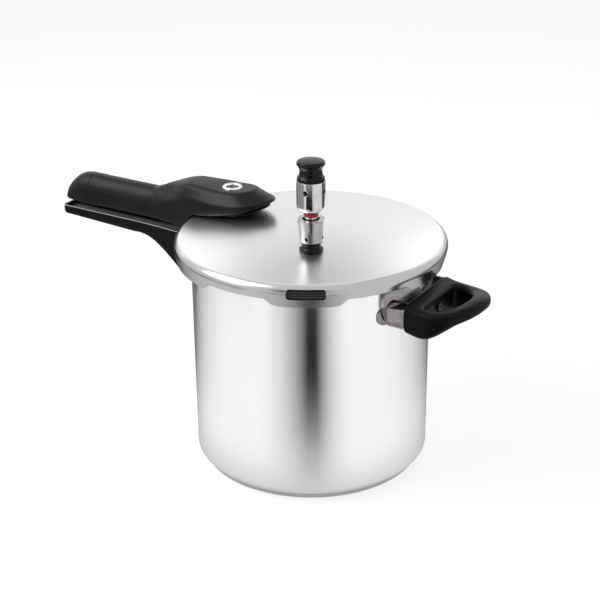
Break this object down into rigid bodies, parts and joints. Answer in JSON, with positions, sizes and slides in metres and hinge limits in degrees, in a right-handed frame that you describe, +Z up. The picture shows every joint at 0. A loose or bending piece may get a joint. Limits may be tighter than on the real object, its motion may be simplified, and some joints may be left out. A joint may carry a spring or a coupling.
{
  "type": "stovetop_pressure_cooker",
  "caption": "Stainless-steel stovetop pressure cooker with a bayonet lid, black long handles, a loop handle, a weighted vent tower and a pressure indicator",
  "frame": {"origin": "centre of the base's underside, on the pot's axis, where it stands on the hob", "axes": "+Z up along the pot's axis, -X along the two long handles, +X along the loop handle"},
  "size_m": [0.473, 0.2536, 0.3117],
  "materials": {
    "pot_steel": "satin",
    "base_steel": "satin",
    "lid_steel": "satin top, polished edge",
    "bright_steel": "mirror",
    "fitting_steel": "machined",
    "core_aluminium": "plain",
    "handle_black": "satin moulded",
    "knob_black": "gloss",
    "gasket_grey": "matt",
    "ring_red": "satin",
    "pin_dark": "satin"
  },
  "bodies": {
    "pot": {"pot_body": "pot_steel", "base_core": "core_aluminium", "base_cap": "base_steel", "helper_bracket": "bright_steel", "helper_handle": "handle_black", "helper_screw": "fitting_steel", "pot_strap": "fitting_steel", "pot_handle": "handle_black", "pot_handle_screw": "fitting_steel"},
    "lid": {"lid_shell": "lid_steel", "lid_gasket": "gasket_grey", "lid_strap": "fitting_steel", "lid_handle": "handle_black", "lid_handle_tail": "handle_black", "lid_handle_base": "handle_black", "lid_handle_screw": "fitting_steel", "indicator_bezel": "bright_steel", "indicator_bush": "fitting_steel", "indicator_nut": "fitting_steel", "vent_pipe": "fitting_steel", "vent_collar": "knob_black", "vent_cup": "bright_steel", "vent_seal": "gasket_grey", "vent_nut": "fitting_steel", "vent_screen": "fitting_steel"},
    "indicator": {"indicator_pin": "pin_dark", "indicator_seal": "gasket_grey"},
    "weight_carrier": {"weight_core": "fitting_steel", "weight_needle": "fitting_steel", "weight_ring": "ring_red", "weight_clip": "fitting_steel"},
    "weight": {"weight_shell": "bright_steel", "weight_knob": "knob_black"}
  },
  "joints": [
    {"name": "lid_turn", "type": "hinge", "parent": "pot", "child": "lid", "pos_m": [0, 0, 0.2], "axis": [0, 0, 1], "range_deg": [-30, 0]},
    {"name": "indicator_rise", "type": "slide", "parent": "lid", "child": "indicator", "axis": [0, 0, 1], "range_m": [0, 0.004]},
    {"name": "weight_lift", "type": "slide", "parent": "lid", "child": "weight_carrier", "axis": [0, 0, 1], "range_m": [0, 0.006]},
    {"name": "weight_spin", "type": "hinge", "parent": "weight_carrier", "child": "weight", "pos_m": [0.03304, -0.05187, 0.28], "axis": [0, 0, 1], "continuous": true}
  ]
}
